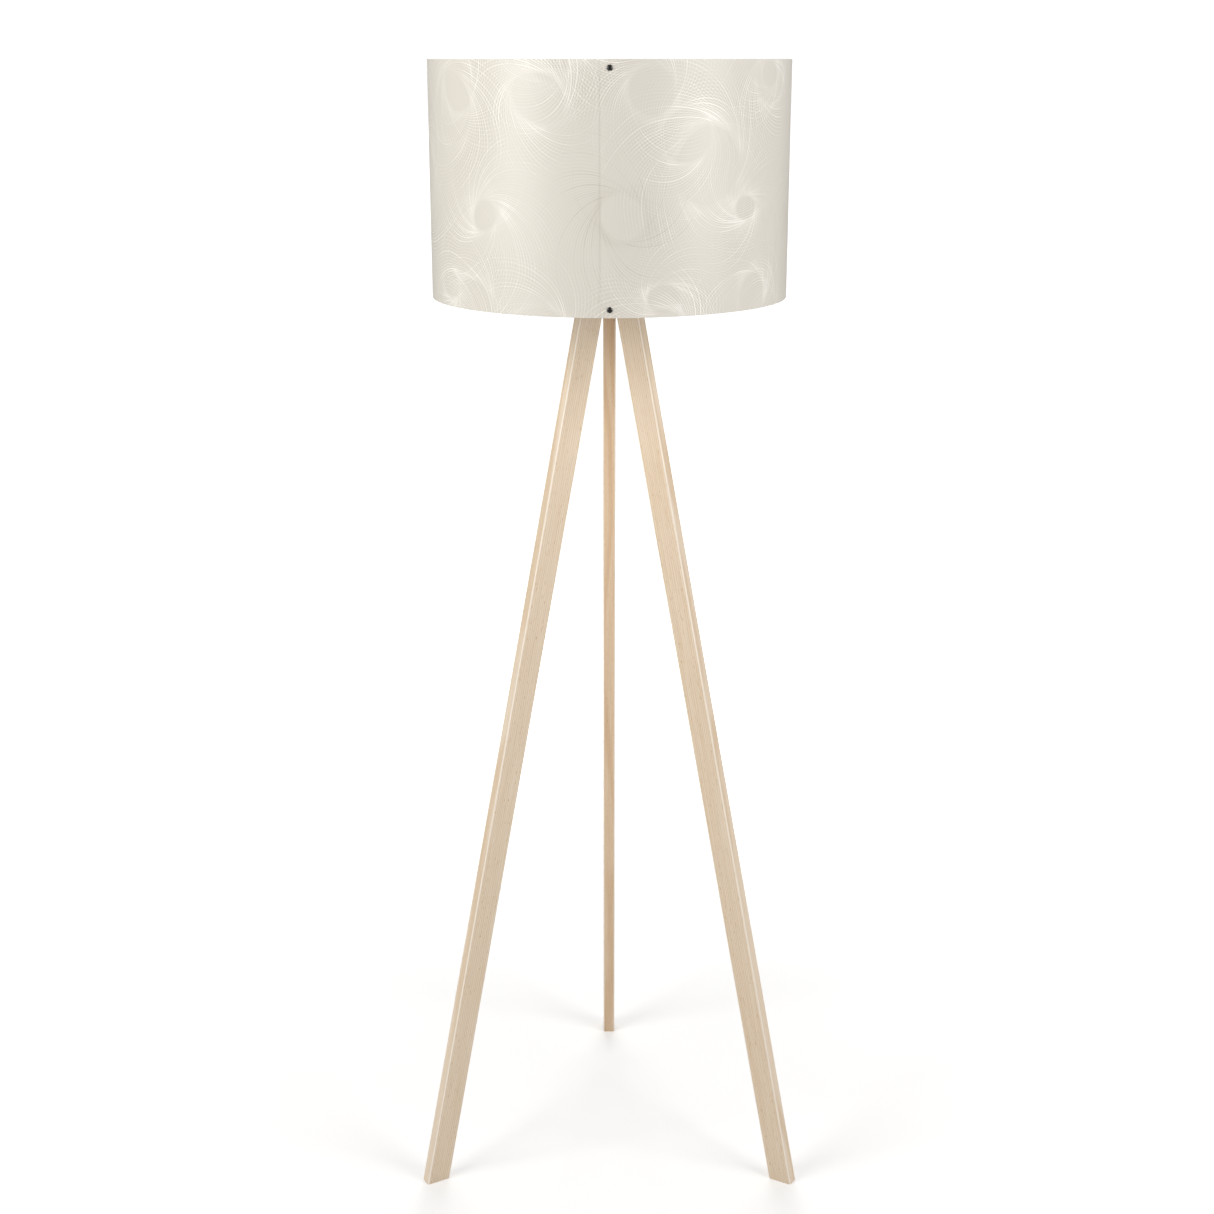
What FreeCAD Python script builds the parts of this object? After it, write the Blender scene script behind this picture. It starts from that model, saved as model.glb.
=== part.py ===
import FreeCAD, Part
import math
import os

# Tripod floor lamp. Millimetres, +Z up, origin on the floor on the tripod's axis, rear leg towards +Y.
# Three wooden legs are bolted into U brackets under a steel plate. A hollow rod through the plate carries an
# E27 lamp holder, and the drum shade hangs on the holder by a wire carrier and a ring nut.

os.makedirs("parts", exist_ok=True)
V = FreeCAD.Vector
UP = V(0, 0, 1)

# Overall sizes
HEIGHT = 1490.0
SHADE_DIA = 450.0
SHADE_HEIGHT = 290.0
FOOT_RADIUS = 275.8
LEG_WIDTH = 32.0
LEG_THICKNESS = 17.0
LEG_TILT = 11.78
LEG_EDGE_RADIUS = 2.0
LEG_AZIMUTHS = {"left": 210.0, "right": 330.0, "rear": 90.0}

# Leg head and its bracket
PIVOT_Z = 1200.0
LEG_TOP_Z = 1222.0
LEG_TOP_FLAT_INSET = 2.2
STOP_GAP = 0.1
PIVOT_BOLT_R = 3.0
PIVOT_HOLE_R = 3.08
SIDE_WASHER_T = 0.8
SIDE_GAP = 0.05
SHEET_STEEL = 2.5
BRACKET_INNER_R = 10.0
BRACKET_OUTER_R = 39.0
EAR_END_RADIUS = 13.5

# Hub plate and hollow rod
PLATE_R = 42.0
PLATE_T = 3.0
ROD_R = 5.0
ROD_BORE_R = 4.0
ROD_BELOW_PLATE = 16.5
RIVET_R = 2.0
RIVET_AT = (16.0, 5.5)
INLET_BORE_R = 3.3

# Lamp holder, as heights above the plate
CAP_NECK_H = 8.0
CAP_H = 26.0
CAP_R = 20.0
SHELL_H = 40.0
SHELL_R = 19.7
FLANGE_R = 24.0
FLANGE_T = 2.0
SCREW_SHELL_R = 13.6
BULB_TIP_ABOVE_PLATE = 48.0

# Shade
SHEET_T = 0.6
SEAM_GAP = 0.15
SEAM_LAP = 22.0
WIRE_R = 2.0
WIRE_EDGE_INSET = 3.2
RIVET_EDGE_INSET = 9.5
CARRIER_RING_R = 20.7
CARRIER_RING_T = 2.0
RING_NUT_R = 27.0
RING_NUT_H = 12.0

# E27 bulb
BULB_LENGTH = 108.0
GLOBE_R = 30.0
THREAD_PITCH = 3.62
THREAD_CREST_R = 13.05
THREAD_ROOT_R = 12.3

# Places worked out from the sizes above
SLOPE = math.tan(math.radians(LEG_TILT))
LEG_HALF_RUN = LEG_WIDTH / 2 / math.cos(math.radians(LEG_TILT))
PIVOT_R = FOOT_RADIUS - PIVOT_Z * SLOPE
BRACKET_TOP = LEG_TOP_Z + STOP_GAP + SHEET_STEEL
PLATE_TOP = BRACKET_TOP + PLATE_T
EAR_INSIDE = LEG_THICKNESS / 2 + 2 * SIDE_GAP + SIDE_WASHER_T
EAR_OUTSIDE = EAR_INSIDE + SHEET_STEEL
SHADE_R = SHADE_DIA / 2
SHADE_BOTTOM = HEIGHT - SHADE_HEIGHT
SHELL_BASE = PLATE_TOP + CAP_H
CARRIER_Z = SHELL_BASE + FLANGE_T + 0.1
BULB_TIP = PLATE_TOP + BULB_TIP_ABOVE_PLATE


def save(name, *solids):
    """Write one named sub-part, as one solid or as a group of separate ones."""
    shape = solids[0] if len(solids) == 1 else Part.makeCompound(list(solids))
    shape.exportStep("parts/" + name + ".step")
    print(f"{name:20s} {len(shape.Solids):2d} solids, {shape.Volume / 1000:8.2f} cm3")


def turned(shape, azimuth):
    """The same shape swung round the tripod's axis."""
    copy = shape.copy()
    copy.rotate(V(0, 0, 0), UP, azimuth)
    return copy


def cylinder(radius, z_low, z_high, x=0.0, y=0.0):
    return Part.makeCylinder(radius, z_high - z_low, V(x, y, z_low), UP)


def tube(outer, inner, z_low, z_high):
    return cylinder(outer, z_low, z_high).cut(cylinder(inner, z_low, z_high))


def cross_cylinder(radius, low, high, r, z):
    """A cylinder lying across a leg on the +X side, from low to high along Y."""
    return Part.makeCylinder(radius, high - low, V(r, low, z), V(0, 1, 0))


def revolved(outline):
    """An outline of (radius, height) points turned about Z. A pair of points is an arc's middle and end."""
    edges = []
    here = outline[0]
    for step in outline[1:] + outline[:1]:
        if isinstance(step[0], tuple):
            middle, there = step
            edges.append(Part.Arc(*[V(r, 0, z) for r, z in (here, middle, there)]).toShape())
        else:
            there = step
            edges.append(Part.makeLine(V(here[0], 0, here[1]), V(there[0], 0, there[1])))
        here = there
    return Part.Face(Part.Wire(edges)).revolve(V(0, 0, 0), UP, 360)


def dome_middle(edge_r, edge_z, tip_z):
    """The middle of a ball-shaped arc between an edge at (edge_r, edge_z) and its tip on the axis."""
    rise = tip_z - edge_z
    ball = (edge_r ** 2 + rise ** 2) / (2 * rise)
    half = math.asin(edge_r / ball) / 2
    return (ball * math.sin(half), tip_z - ball + ball * math.cos(half))


def prism(outline, low, high):
    """An outline of (radius, height) points on the +X side, given thickness along Y."""
    points = [V(r, low, z) for r, z in outline]
    return Part.Face(Part.makePolygon(points + points[:1])).extrude(V(0, high - low, 0))


def hexagon(flats, z_low, z_high):
    corner = flats / 2 / math.cos(math.pi / 6)
    angles = [k * math.pi / 3 for k in range(7)]
    points = [V(corner * math.cos(a), corner * math.sin(a), z_low) for a in angles]
    return Part.Face(Part.makePolygon(points)).extrude(V(0, 0, z_high - z_low))


def laid_across(shape, low, r, z):
    """A shape built on Z from height 0, turned to lie along +Y from low, across a leg."""
    copy = shape.copy()
    copy.rotate(V(0, 0, 0), V(1, 0, 0), -90)
    copy.translate(V(r, low, z))
    return copy


# ---------------------------------------------------------------- legs

def leg_centre(z):
    return FOOT_RADIUS - z * SLOPE


def leg():
    """A tilted bar, level at the foot, its head flat where it stops against the bracket and mitred inside."""
    flat_start = PIVOT_R - LEG_TOP_FLAT_INSET
    inner_at_top = leg_centre(LEG_TOP_Z) - LEG_HALF_RUN
    mitre = (flat_start - inner_at_top) / (1 + SLOPE)
    mitre_foot = (flat_start - mitre, LEG_TOP_Z - mitre)
    outline = [
        (leg_centre(0) - LEG_HALF_RUN, 0),
        (leg_centre(0) + LEG_HALF_RUN, 0),
        (leg_centre(LEG_TOP_Z) + LEG_HALF_RUN, LEG_TOP_Z),
        (flat_start, LEG_TOP_Z),
        mitre_foot,
    ]
    bar = prism(outline, -LEG_THICKNESS / 2, LEG_THICKNESS / 2)
    long_edges = [e for e in bar.Edges if e.Length > HEIGHT / 2]
    bar = bar.makeFillet(LEG_EDGE_RADIUS, long_edges)
    return bar.cut(cross_cylinder(PIVOT_HOLE_R, -LEG_THICKNESS, LEG_THICKNESS, PIVOT_R, PIVOT_Z))


# ---------------------------------------------------------------- hub

def rivet_hole(side):
    return cylinder(RIVET_R + 0.05, LEG_TOP_Z, PLATE_TOP + 1, RIVET_AT[0], side * RIVET_AT[1])


def leg_bracket():
    """A folded steel U, open downwards, with round-ended ears either side of the leg."""
    web_bottom = BRACKET_TOP - SHEET_STEEL
    ear_bottom = PIVOT_Z - EAR_END_RADIUS
    length = BRACKET_OUTER_R - BRACKET_INNER_R
    block = Part.makeBox(length, 2 * EAR_OUTSIDE, BRACKET_TOP - ear_bottom,
                         V(BRACKET_INNER_R, -EAR_OUTSIDE, ear_bottom))
    folds = [e for e in block.Edges if e.Length > length - 1 and e.BoundBox.ZMin > web_bottom
             and abs(e.BoundBox.XLength - length) < 1e-6]
    block = block.makeFillet(SHEET_STEEL * 1.2, folds)
    slot = Part.makeBox(length + 2, 2 * EAR_INSIDE, web_bottom - ear_bottom + 1,
                        V(BRACKET_INNER_R - 1, -EAR_INSIDE, ear_bottom - 1))
    ends = [(BRACKET_INNER_R, BRACKET_TOP), (BRACKET_OUTER_R, BRACKET_TOP), (BRACKET_OUTER_R, PIVOT_Z),
            (PIVOT_R - EAR_END_RADIUS, PIVOT_Z), (BRACKET_INNER_R, PIVOT_Z + 4)]
    upper = prism(ends, -EAR_OUTSIDE - 1, EAR_OUTSIDE + 1)
    round_end = cross_cylinder(EAR_END_RADIUS, -EAR_OUTSIDE - 1, EAR_OUTSIDE + 1, PIVOT_R, PIVOT_Z)
    bent = block.cut(slot).common(upper.fuse(round_end))
    bent = bent.cut(cross_cylinder(PIVOT_BOLT_R + 0.1, -EAR_OUTSIDE - 1, EAR_OUTSIDE + 1, PIVOT_R, PIVOT_Z))
    for side in (-1, 1):
        bent = bent.cut(rivet_hole(side))
    return bent.removeSplitter()


def hub_plate():
    plate = cylinder(PLATE_R, BRACKET_TOP, PLATE_TOP)
    rims = [e for e in plate.Edges if len(e.Vertexes) == 1]
    plate = plate.makeChamfer(0.6, rims).cut(cylinder(ROD_R + 0.1, BRACKET_TOP - 1, PLATE_TOP + 1))
    for azimuth in LEG_AZIMUTHS.values():
        for side in (-1, 1):
            plate = plate.cut(turned(rivet_hole(side), azimuth))
    return plate


def bracket_rivet(side):
    """A rivet with its round head under the bracket and its tail flush with the plate."""
    head_z = BRACKET_TOP - SHEET_STEEL
    edge = (3.6, head_z)
    head = revolved([(0, head_z), (0, head_z - 1.8), (dome_middle(*edge, head_z - 1.8), edge)])
    rivet = head.fuse(cylinder(RIVET_R, head_z, PLATE_TOP)).removeSplitter()
    rivet.translate(V(RIVET_AT[0], side * RIVET_AT[1], 0))
    return rivet


def pivot_bolt():
    """A hexagon-head M6 bolt lying across the leg."""
    head_side = -EAR_OUTSIDE - 1.7
    head = hexagon(10, 0, 4).common(Part.makeCone(5.0, 6.4, 1.4).fuse(cylinder(6.4, 1.4, 4)))
    shank = cylinder(PIVOT_BOLT_R, 4, 4 + 2 * EAR_OUTSIDE + 1.7 + 9.3)
    tip = [e for e in shank.Edges if len(e.Vertexes) == 1 and e.BoundBox.ZMin > 5]
    return laid_across(head.fuse(shank.makeChamfer(0.7, tip)), head_side - 4, PIVOT_R, PIVOT_Z)


def bolt_washers():
    """A plain washer under the head and one under the nut."""
    ring = tube(6.2, PIVOT_BOLT_R + 0.2, 0, 1.6)
    return [laid_across(ring, low, PIVOT_R, PIVOT_Z) for low in (-EAR_OUTSIDE - 1.65, EAR_OUTSIDE + 0.05)]


def lock_nut():
    """A hexagon nut with the round collar that holds its locking ring."""
    body = hexagon(10, 0, 4.6).common(Part.makeCone(5.0, 6.4, 1.4).fuse(cylinder(6.4, 1.4, 4.6)))
    collar = revolved([(0, 4.6), (4.6, 4.6), (4.6, 5.8), ((4.34, 6.44), (3.7, 6.7)), (0, 6.7)])
    nut = body.fuse(collar).cut(cylinder(PIVOT_BOLT_R + 0.02, -1, 8)).removeSplitter()
    return laid_across(nut, EAR_OUTSIDE + 1.7, PIVOT_R, PIVOT_Z)


def side_washers():
    """Nylon washers between the leg and each ear."""
    ring = tube(10.0, PIVOT_BOLT_R + 0.2, 0, SIDE_WASHER_T)
    near = LEG_THICKNESS / 2 + SIDE_GAP
    return [laid_across(ring, low, PIVOT_R, PIVOT_Z) for low in (near, -near - SIDE_WASHER_T)]


# ---------------------------------------------------------------- hollow rod

ROD_BOTTOM = BRACKET_TOP - ROD_BELOW_PLATE
ROD_TOP = PLATE_TOP + CAP_NECK_H + 4


def hollow_rod():
    """An M10 threaded tube with its thread's outer size and chamfered ends."""
    rod = cylinder(ROD_R, ROD_BOTTOM, ROD_TOP)
    rod = rod.makeChamfer(0.6, [e for e in rod.Edges if len(e.Vertexes) == 1])
    return rod.cut(cylinder(ROD_BORE_R, ROD_BOTTOM - 1, ROD_TOP + 1))


def rod_lock_nut():
    low = BRACKET_TOP - 5.0
    nut = hexagon(14, low, low + 4.0).common(
        Part.makeCone(7.0, 8.4, 1.4, V(0, 0, low), UP).fuse(cylinder(8.4, low + 1.4, low + 4)))
    return nut.cut(cylinder(ROD_R + 0.02, low - 1, low + 5))


def rod_lock_washer():
    """A toothed washer between the plate and its nut."""
    low = BRACKET_TOP - 0.95
    ring = tube(8.4, ROD_R + 0.15, low, low + 0.9)
    teeth = 12
    for k in range(teeth):
        notch = Part.makeBox(3.0, 1.0, 2.0, V(7.2, -0.5, low - 0.5))
        ring = ring.cut(turned(notch, k * 360 / teeth))
    return ring


def cord_inlet_bush():
    """A plastic bush pushed into the rod's lower end, with a rounded mouth."""
    flange_low = ROD_BOTTOM - 2.2
    bore = INLET_BORE_R
    return revolved([(bore, ROD_BOTTOM + 8), (bore, flange_low + 0.8),
                     ((bore + 0.23, flange_low + 0.23), (bore + 0.8, flange_low)),
                     (5.7, flange_low), ((6.27, flange_low + 0.23), (6.5, flange_low + 0.8)),
                     (6.5, ROD_BOTTOM - 0.05), (ROD_BORE_R - 0.04, ROD_BOTTOM - 0.05),
                     (ROD_BORE_R - 0.04, ROD_BOTTOM + 8)])


# ---------------------------------------------------------------- lamp holder

def holder_cap():
    """The holder's lower cover: a threaded neck that flares into a round skirt."""
    base, top, wall = PLATE_TOP + 0.05, SHELL_BASE - 0.05, 1.8
    neck_r, shoulder = 9.0, PLATE_TOP + CAP_H - 8.0
    neck_top = PLATE_TOP + CAP_NECK_H
    return revolved([(ROD_R + 0.03, base), (neck_r, base), (neck_r, neck_top),
                     ((CAP_R - 3.2, neck_top + 2.6), (CAP_R, shoulder)),
                     (CAP_R, top), (CAP_R - wall, top), (CAP_R - wall, shoulder),
                     ((CAP_R - 4.6, neck_top + 4.2), (neck_r, neck_top + wall)),
                     (ROD_R + 0.03, neck_top + wall)])


def holder_shell():
    """The outer shell: a seat flange for the shade, a threaded wall and a lip round the bulb's cap."""
    z, top = SHELL_BASE, SHELL_BASE + SHELL_H
    return revolved([(17.6, z), (FLANGE_R, z), (FLANGE_R, z + FLANGE_T), (SHELL_R, z + FLANGE_T),
                     (SHELL_R, top - 6), (SHELL_R - 0.8, top - 5), (SHELL_R - 0.8, top - 1.5),
                     ((SHELL_R - 1.24, top - 0.44), (SHELL_R - 2.3, top)),
                     (14.6, top), (14.6, top - 3), (17.6, top - 3)])


CORE_TOP = BULB_TIP - 3.2
CORE_BOTTOM = CORE_TOP - 14.0
TERMINAL_OFFSET = 8.5


def holder_core():
    """The insulating insert: a disc that carries the contacts and the screw shell, on a lower post."""
    body = cylinder(17.3, CORE_TOP - 6, CORE_TOP).fuse(cylinder(13.0, CORE_BOTTOM, CORE_TOP - 6))
    seat = tube(SCREW_SHELL_R + 0.75, SCREW_SHELL_R - 0.15, CORE_TOP - 2, CORE_TOP + 1)
    body = body.cut(seat)
    for side in (-1, 1):
        body = body.cut(cylinder(1.55, CORE_BOTTOM - 1, CORE_BOTTOM + 9, 0, side * TERMINAL_OFFSET))
    return body.removeSplitter()


def screw_shell():
    """The plated sleeve that takes the bulb's thread, rolled over at its mouth."""
    low, top = CORE_TOP - 1.9, SHELL_BASE + SHELL_H - 3.2
    r, t = SCREW_SHELL_R, 0.5
    return revolved([(r, low), (r + t, low), (r + t, top - 1.4), (r + 2.0, top - 0.6), (r + 2.0, top),
                     (r + 1.2, top), (r, top - 1.2)])


def centre_contact():
    """A sprung bronze strip folded up from the core, its crown under the bulb's tip."""
    width, t = 6.0, 0.5
    lows = [(-7.5, CORE_TOP + 0.05), (-2.5, CORE_TOP + 0.05), (1.5, BULB_TIP - 0.85), (4.5, BULB_TIP - 0.85),
            (7.5, BULB_TIP - 1.9)]
    outline = lows + [(x, z + t) for x, z in reversed(lows)]
    return prism(outline, -width / 2, width / 2)


def side_contact():
    """A strip that rises beside the screw shell and touches its wall from outside."""
    gap = SCREW_SHELL_R + 0.5 + 0.05
    foot, t = CORE_TOP + 0.05, 0.5
    return prism([(gap, foot), (16.8, foot), (16.8, foot + t), (gap + t, foot + t),
                  (gap + t, CORE_TOP + 10), (gap, CORE_TOP + 10)], -2.5, 2.5)


def terminal_screw(side):
    """A slotted M3 cheese-head screw in the core's underside."""
    y = side * TERMINAL_OFFSET
    head = cylinder(2.6, CORE_BOTTOM - 2.1, CORE_BOTTOM - 0.05, 0, y)
    slot = Part.makeBox(6, 0.7, 1.0, V(-3, y - 0.35, CORE_BOTTOM - 2.3))
    return head.cut(slot).fuse(cylinder(1.5, CORE_BOTTOM - 0.05, CORE_BOTTOM + 8, 0, y)).removeSplitter()


def shade_ring_nut():
    """The ring that clamps the shade's carrier, scalloped for the fingers."""
    low = CARRIER_Z + CARRIER_RING_T + 0.1
    bore = SHELL_R + 0.08
    ring = revolved([(bore, low), (RING_NUT_R, low), (RING_NUT_R, low + 4),
                     (RING_NUT_R - 1.2, low + RING_NUT_H - 2.5),
                     ((RING_NUT_R - 1.9, low + RING_NUT_H - 0.8), (RING_NUT_R - 3.5, low + RING_NUT_H)),
                     (bore, low + RING_NUT_H)])
    scallops = 12
    for k in range(scallops):
        groove = cylinder(4.0, low - 1, low + RING_NUT_H + 1, RING_NUT_R + 2.6, 0)
        ring = ring.cut(turned(groove, (k + 0.5) * 360 / scallops))
    return ring


# ---------------------------------------------------------------- shade

def seam_blend(high_r, low_r, start, end):
    """A curve that eases from one radius to another between two azimuths."""
    def at(radius, azimuth):
        a = math.radians(azimuth)
        return V(radius * math.cos(a), radius * math.sin(a), SHADE_BOTTOM)

    def heading(azimuth):
        a = math.radians(azimuth)
        return V(-math.sin(a), math.cos(a), 0)
    reach = math.radians(end - start) * high_r / 3
    curve = Part.BezierCurve()
    curve.setPoles([at(high_r, start), at(high_r, start) + heading(start) * reach,
                    at(low_r, end) - heading(end) * reach, at(low_r, end)])
    return curve.toShape()


def shade_sheet():
    """One sheet rolled into a drum. Its far end slips under its near end, in a lap across the front."""
    lap = math.degrees(SEAM_LAP / SHADE_R)
    blend_start, blend_end, far_end = 234.0, 258.0, 270.0 + lap / 2
    near_end = 270.0 - lap / 2 - 360.0
    drop = SHEET_T + SEAM_GAP

    def arc(radius, start, end):
        middle = (start + end) / 2
        points = [V(radius * math.cos(math.radians(a)), radius * math.sin(math.radians(a)), SHADE_BOTTOM)
                  for a in (start, middle, end)]
        return Part.Arc(*points).toShape()

    def side(radius):
        tucked = radius - drop
        return [arc(radius, near_end, near_end + 160), arc(radius, near_end + 160, blend_start),
                seam_blend(radius, tucked, blend_start, blend_end), arc(tucked, blend_end, far_end)]
    outer, inner = side(SHADE_R), side(SHADE_R - SHEET_T)
    near = Part.makeLine(*[s[0].valueAt(s[0].FirstParameter) for s in (outer, inner)])
    far = Part.makeLine(*[s[-1].valueAt(s[-1].LastParameter) for s in (outer, inner)])
    ring = Part.Wire(Part.__sortEdges__(outer + [far] + inner + [near]))
    return Part.Face(ring).extrude(V(0, 0, SHADE_HEIGHT))


WIRE_RING_R = SHADE_R - 2 * SHEET_T - SEAM_GAP - 0.15 - WIRE_R


def wire_ring(z):
    return Part.makeTorus(WIRE_RING_R, WIRE_R, V(0, 0, z), UP)


def shade_carrier():
    """A flat centre ring on three wire spokes that fall to the bottom wire ring, all welded."""
    ring_z = SHADE_BOTTOM + WIRE_EDGE_INSET
    spoke_z = CARRIER_Z + CARRIER_RING_T - WIRE_R
    level_end, bend = 70.0, 40.0
    start, corner, end = V(FLANGE_R + 0.6, 0, spoke_z), V(level_end, 0, spoke_z), V(WIRE_RING_R, 0, ring_z)
    down = (end - corner).normalize()
    setback = bend * math.tan(down.getAngle(V(1, 0, 0)) / 2)
    first, last = corner - V(setback, 0, 0), corner + down * setback
    centre = first - V(0, 0, bend)
    middle = centre + ((first - centre) + (last - centre)).normalize() * bend
    bend_arc = Part.Arc(first, middle, last).toShape()
    path = Part.Wire([Part.makeLine(start, first), bend_arc, Part.makeLine(last, end)])
    wire = Part.Wire(Part.makeCircle(WIRE_R, start, V(1, 0, 0)))
    spoke = path.makePipeShell([wire], True, False)
    centre_ring = tube(RING_NUT_R + 3.0, CARRIER_RING_R, CARRIER_Z, CARRIER_Z + CARRIER_RING_T)
    frame = centre_ring.fuse(wire_ring(ring_z))
    for azimuth in LEG_AZIMUTHS.values():
        frame = frame.fuse(turned(spoke, azimuth))
    return frame


def rivet_head(z):
    """The outside half of a snap rivet: a low dome and a post through both layers."""
    face = SHADE_R + 0.05
    tail = -(2 * SHEET_T + SEAM_GAP + 0.05 + 1.6)
    edge, tip = (3.4, 0.5), 1.8
    rivet = revolved([(0, tail), (1.5, tail), (1.5, 0), (3.4, 0), edge, (dome_middle(*edge, tip), (0, tip))])
    rivet.rotate(V(0, 0, 0), V(1, 0, 0), 90)
    rivet.translate(V(0, -face, z))
    return rivet


def rivet_back(z):
    """The inside half of a snap rivet: a flat cap pressed over the post."""
    face = SHADE_R - 2 * SHEET_T - SEAM_GAP - 0.05
    cap = revolved([(1.52, 0), (3.2, 0), (3.2, 0.9), ((3.05, 1.25), (2.7, 1.4)), (1.52, 1.4)])
    cap.rotate(V(0, 0, 0), V(1, 0, 0), -90)
    cap.translate(V(0, -face, z))
    return cap


RIVET_HEIGHTS = (SHADE_BOTTOM + RIVET_EDGE_INSET, HEIGHT - RIVET_EDGE_INSET)


def punched_sheet():
    sheet = shade_sheet()
    for z in RIVET_HEIGHTS:
        sheet = sheet.cut(Part.makeCylinder(1.55, 10, V(0, -SHADE_R - 5, z), V(0, 1, 0)))
    return sheet


# ---------------------------------------------------------------- bulb

THREAD_LOW = BULB_TIP + 7.0
THREAD_TURNS = 4
CAP_TOP = BULB_TIP + 25.5
HOUSING_TOP = BULB_TIP + 52.0
HOUSING_R = 23.0


def bulb_cap():
    """The screw cap, a thin shell with the rounded waves of its thread."""
    wave = []
    for k in range(THREAD_TURNS):
        z = THREAD_LOW + k * THREAD_PITCH
        wave.append(((THREAD_CREST_R, z + THREAD_PITCH / 2), (THREAD_ROOT_R, z + THREAD_PITCH)))
    return revolved([(8.6, BULB_TIP + 4.4), (10.6, BULB_TIP + 5.2), (THREAD_ROOT_R, THREAD_LOW)] + wave
                    + [(12.9, CAP_TOP - 3), (12.9, CAP_TOP), (12.4, CAP_TOP), (12.4, CAP_TOP - 3.5),
                       (11.8, THREAD_LOW + THREAD_TURNS * THREAD_PITCH), (11.8, THREAD_LOW),
                       (8.6, BULB_TIP + 5.2)])


def bulb_insulator():
    """The dark glass cone between the cap and its centre contact."""
    return revolved([(0, BULB_TIP + 1.6), (4.9, BULB_TIP + 1.6), (8.5, BULB_TIP + 4.3), (8.5, BULB_TIP + 6.5),
                     (0, BULB_TIP + 6.5)])


def bulb_contact():
    edge = (4.6, BULB_TIP + 1.1)
    return revolved([(0, BULB_TIP), (dome_middle(*edge, BULB_TIP), edge),
                     (4.6, BULB_TIP + 1.55), (0, BULB_TIP + 1.55)])


def bulb_body():
    """The white housing, a shell that flares from the cap to the globe."""
    low, top = CAP_TOP + 0.1, HOUSING_TOP
    return revolved([(10.6, low - 6), (11.7, low - 6), (11.7, low), (14.2, low), (14.2, low + 2),
                     ((17.6, low + 15), (HOUSING_R, top)),
                     (HOUSING_R - 1.6, top), ((16.0, low + 15), (12.6, low + 3)),
                     (10.6, low + 2)])


def bulb_globe():
    """The opal diffuser: most of a sphere on a tapering neck."""
    neck, tip, wall = HOUSING_TOP + 0.1, BULB_TIP + BULB_LENGTH, 1.0
    centre = tip - GLOBE_R
    join = centre - 14.0
    join_r = math.sqrt(GLOBE_R ** 2 - 14.0 ** 2)
    inner_r = GLOBE_R - wall
    inner_join_r = math.sqrt(inner_r ** 2 - 14.0 ** 2)
    side, inner_side = (GLOBE_R * math.cos(0.6), centre + GLOBE_R * math.sin(0.6)), (
        inner_r * math.cos(0.6), centre + inner_r * math.sin(0.6))
    return revolved([(HOUSING_R - wall, neck), (HOUSING_R, neck), (join_r, join),
                     (side, (0, tip)), (0, tip - wall), (inner_side, (inner_join_r, join))])


def bulb_board():
    """The aluminium disc with its ring of LED chips, under the globe."""
    z = HOUSING_TOP - 4.5
    board = cylinder(18.6, z, z + 1.6)
    for k in range(9):
        chip = Part.makeBox(2.8, 3.5, 0.8, V(11.6, -1.75, z + 1.6))
        board = board.fuse(turned(chip, k * 40))
    return board


def bulb_driver():
    """The little power supply: an upright board, a capacitor and a coil."""
    z = CAP_TOP - 10
    board = Part.makeBox(18, 1.2, 28, V(-9, -0.6, z))
    capacitor = Part.makeCylinder(4.0, 12, V(-3, -4.4, z + 12), UP)
    coil = Part.makeBox(8, 5, 8, V(-2, 0.6, z + 16))
    return board.fuse(capacitor).fuse(coil).removeSplitter()


# ---------------------------------------------------------------- write everything

for name, azimuth in LEG_AZIMUTHS.items():
    save(name + "_leg", turned(leg(), azimuth))
    save(name + "_leg_bracket", turned(leg_bracket(), azimuth))

AZIMUTHS = list(LEG_AZIMUTHS.values())
save("hub_plate", hub_plate())
save("bracket_rivets", *[turned(bracket_rivet(side), a) for a in AZIMUTHS for side in (-1, 1)])
save("leg_pivot_bolts", *[turned(pivot_bolt(), a) for a in AZIMUTHS])
save("leg_bolt_washers", *[turned(ring, a) for a in AZIMUTHS for ring in bolt_washers()])
save("leg_lock_nuts", *[turned(lock_nut(), a) for a in AZIMUTHS])
save("leg_side_washers", *[turned(ring, a) for a in AZIMUTHS for ring in side_washers()])
save("hollow_rod", hollow_rod())
save("rod_lock_nut", rod_lock_nut())
save("rod_lock_washer", rod_lock_washer())
save("cord_inlet_bush", cord_inlet_bush())
save("holder_cap", holder_cap())
save("holder_shell", holder_shell())
save("holder_core", holder_core())
save("screw_shell", screw_shell())
save("centre_contact", centre_contact())
save("side_contact", side_contact())
save("terminal_screws", terminal_screw(-1), terminal_screw(1))
save("shade_ring_nut", shade_ring_nut())
save("shade_carrier", shade_carrier())
save("shade_top_ring", wire_ring(HEIGHT - WIRE_EDGE_INSET))
save("shade_sheet", punched_sheet())
save("seam_rivets", *[rivet_head(z) for z in RIVET_HEIGHTS])
save("seam_rivet_backs", *[rivet_back(z) for z in RIVET_HEIGHTS])
save("bulb_cap", bulb_cap())
save("bulb_insulator", bulb_insulator())
save("bulb_contact", bulb_contact())
save("bulb_body", bulb_body())
save("bulb_globe", bulb_globe())
save("bulb_board", bulb_board())
save("bulb_driver", bulb_driver())
print("pivot radius", round(PIVOT_R, 2), "leg pivots at height", PIVOT_Z)
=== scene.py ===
# %% [markdown]
# # A tripod floor lamp
#
# Three pale beech legs meet under a steel plate, an E27 lamp holder stands on the plate, and a tall drum
# shade of thin white film hangs on the holder by a wire carrier. The film is rolled into a drum and closed
# at the front with two black snap rivets, and it carries a print of very fine interlaced circles.
#
# The mechanical design is finished and is loaded here as a fixed frame. This lesson gives it its looks: a
# finish for every part, and finer meshes where a plain solid is too simple, such as the lapped film and
# the parts with a screw thread.

import math

import bpy
from mathutils import Matrix, Vector


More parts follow.
